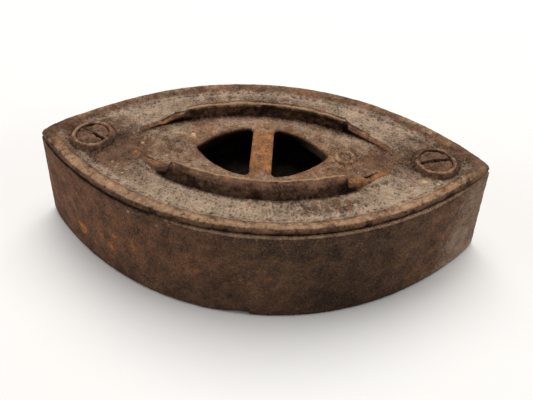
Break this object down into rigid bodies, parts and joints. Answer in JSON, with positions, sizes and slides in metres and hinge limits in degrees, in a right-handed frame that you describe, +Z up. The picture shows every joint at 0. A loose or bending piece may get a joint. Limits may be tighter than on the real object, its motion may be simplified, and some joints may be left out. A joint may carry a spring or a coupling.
{
  "type": "sad iron",
  "caption": "Double-pointed cast-iron pressing iron base with a screwed cap, curved guide rails and a cross bar that a lift-off handle latches on.",
  "frame": {"origin": "middle of the flat working face of the sole, which is the object's lowest face", "axes": "+X runs from point to point along the sole, +Y across it, +Z up from the sole to the cap"},
  "size_m": [0.165, 0.0868, 0.0427],
  "materials": {
    "body_iron": "matte",
    "cap_iron": "matte",
    "plaster": "matte",
    "screw_steel": "matte"
  },
  "bodies": {
    "root": {"sole_body": "body_iron", "top_cap": "cap_iron", "insulating_fill": "plaster", "cap_screw_left": "screw_steel", "cap_screw_right": "screw_steel"}
  },
  "joints": []
}
